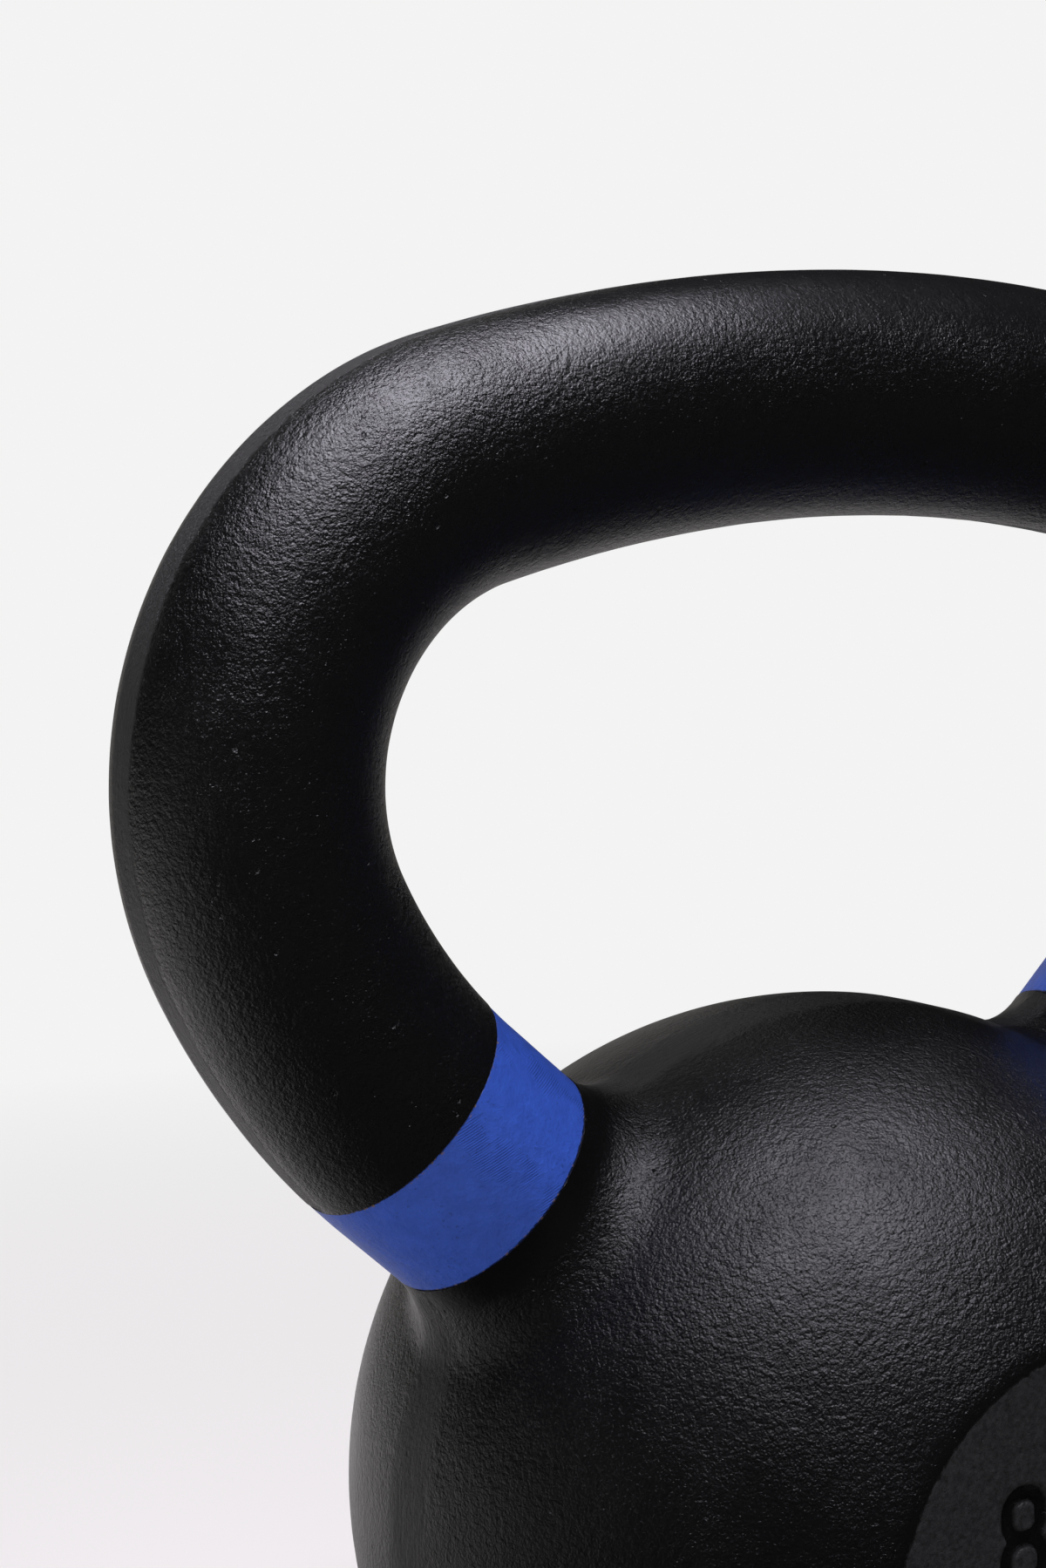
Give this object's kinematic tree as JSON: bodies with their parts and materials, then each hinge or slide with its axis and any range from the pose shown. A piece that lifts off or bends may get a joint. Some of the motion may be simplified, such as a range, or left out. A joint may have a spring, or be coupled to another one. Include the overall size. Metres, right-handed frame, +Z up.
{
  "type": "kettlebell",
  "caption": "Solid cast-iron kettlebell with a black textured powder coat, a blue colour band on each horn root, sunk weight marking and a faced flat base.",
  "frame": {"origin": "centre of the flat base, on the surface that the bell stands on", "axes": "+Z up through the ball and the top of the grip, +X along the grip towards the right horn, -Y towards the front flat that carries the weight marking"},
  "size_m": [0.1866, 0.1062, 0.1962],
  "materials": {
    "bare_iron": "satin",
    "black_coat": "satin",
    "blue_coat": "satin"
  },
  "bodies": {
    "root": {"iron_casting": "bare_iron", "ball_coat": "black_coat", "grip_coat": "black_coat", "left_colour_band": "blue_coat", "right_colour_band": "blue_coat"}
  },
  "joints": []
}
